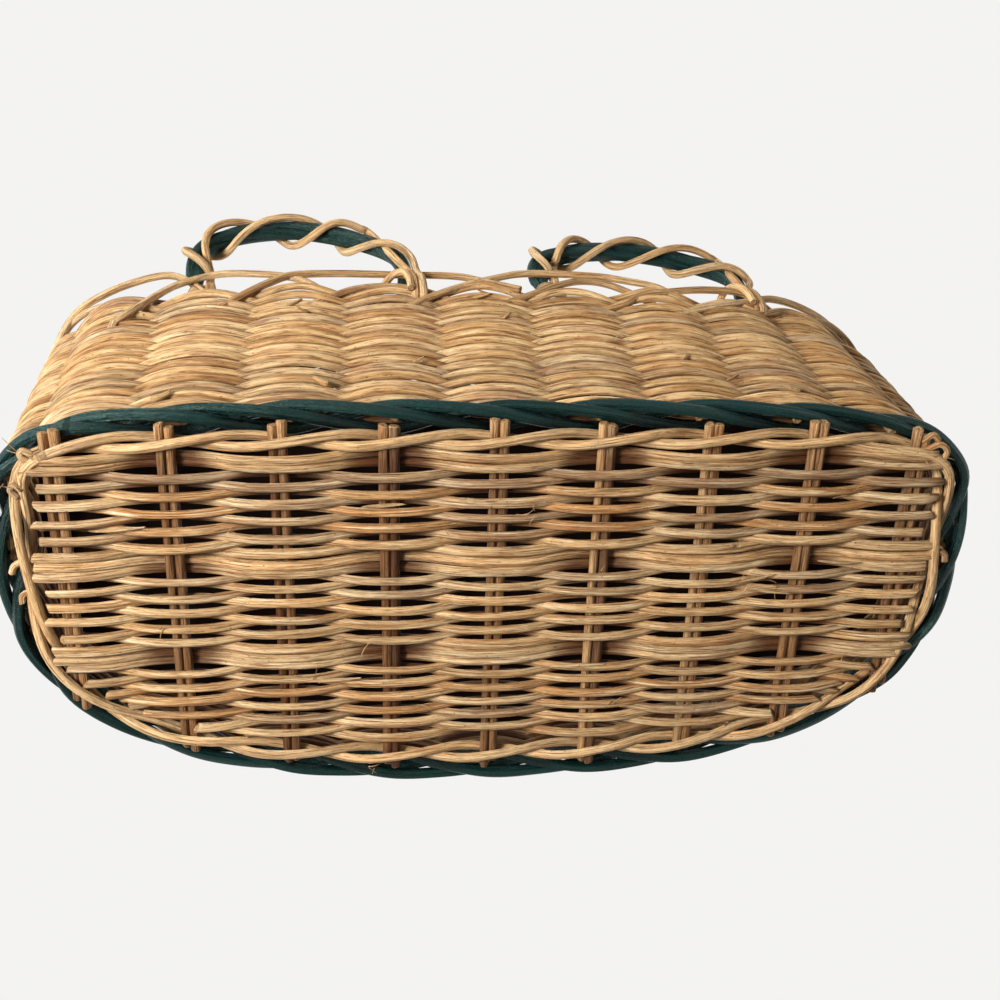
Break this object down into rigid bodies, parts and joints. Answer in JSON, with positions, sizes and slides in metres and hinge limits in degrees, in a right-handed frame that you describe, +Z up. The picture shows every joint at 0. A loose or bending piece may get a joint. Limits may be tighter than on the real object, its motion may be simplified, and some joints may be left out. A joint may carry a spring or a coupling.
{
  "type": "wall basket",
  "caption": "Half-moon woven rod basket with a flat back, an open-weave base, close-woven walls, a dark green foot wale, a looped border and bow handles.",
  "frame": {"origin": "middle of the whole basket's footprint, on the surface that its base rests on", "axes": "+Z up out of the open top; +Y towards the flat back and its handles; X along the basket's length"},
  "size_m": [0.4584, 0.2716, 0.1901],
  "materials": {
    "base_sticks": "peeled rod, dry, satin",
    "base_rods": "peeled rod, satin",
    "binding_rods": "peeled rod, satin",
    "border_rods": "peeled rod, satin",
    "wall_rods": "peeled rod, satin",
    "green_rods": "dyed and varnished, semi-gloss"
  },
  "bodies": {
    "root": {"base_stick_pair_1": "base_sticks", "base_stick_pair_2": "base_sticks", "base_stick_pair_3": "base_sticks", "base_stick_pair_4": "base_sticks", "base_stick_pair_5": "base_sticks", "base_stick_pair_6": "base_sticks", "base_stick_pair_7": "base_sticks", "base_stick_pair_8": "base_sticks", "base_stick_pair_9": "base_sticks", "base_band_1": "base_rods", "base_band_2": "base_rods", "base_band_3": "base_rods", "base_weaver_01": "base_rods", "base_weaver_02": "base_rods", "base_weaver_03": "base_rods", "base_weaver_04": "base_rods", "base_weaver_05": "base_rods", "base_weaver_06": "base_rods", "base_weaver_07": "base_rods", "base_weaver_08": "base_rods", "base_weaver_09": "base_rods", "base_weaver_10": "base_rods", "base_weaver_11": "base_rods", "base_weaver_12": "base_rods", "base_weaver_13": "base_rods", "base_weaver_14": "base_rods", "base_weaver_15": "base_rods", "base_weaver_16": "base_rods", "base_weaver_17": "base_rods", "base_weaver_18": "base_rods", "base_weaver_19": "base_rods", "base_weaver_20": "base_rods", "base_weaver_21": "base_rods", "base_weaver_22": "base_rods", "base_weaver_23": "base_rods", "base_weaver_24": "base_rods", "base_weaver_25": "base_rods", "base_weaver_26": "base_rods", "base_weaver_27": "base_rods", "base_weaver_28": "base_rods", "base_weaver_29": "base_rods", "edge_binding_rod_a": "binding_rods", "edge_binding_rod_b": "binding_rods", "foot_wale_rod_a": "green_rods", "foot_wale_rod_b": "green_rods", "foot_wale_rod_c": "green_rods", "stakes_and_border_a": "border_rods", "stakes_and_border_b": "border_rods", "wall_weave": "wall_rods", "handle_core_left": "green_rods", "handle_core_right": "green_rods", "handle_wrap_left": "binding_rods", "handle_wrap_right": "binding_rods"}
  },
  "joints": []
}
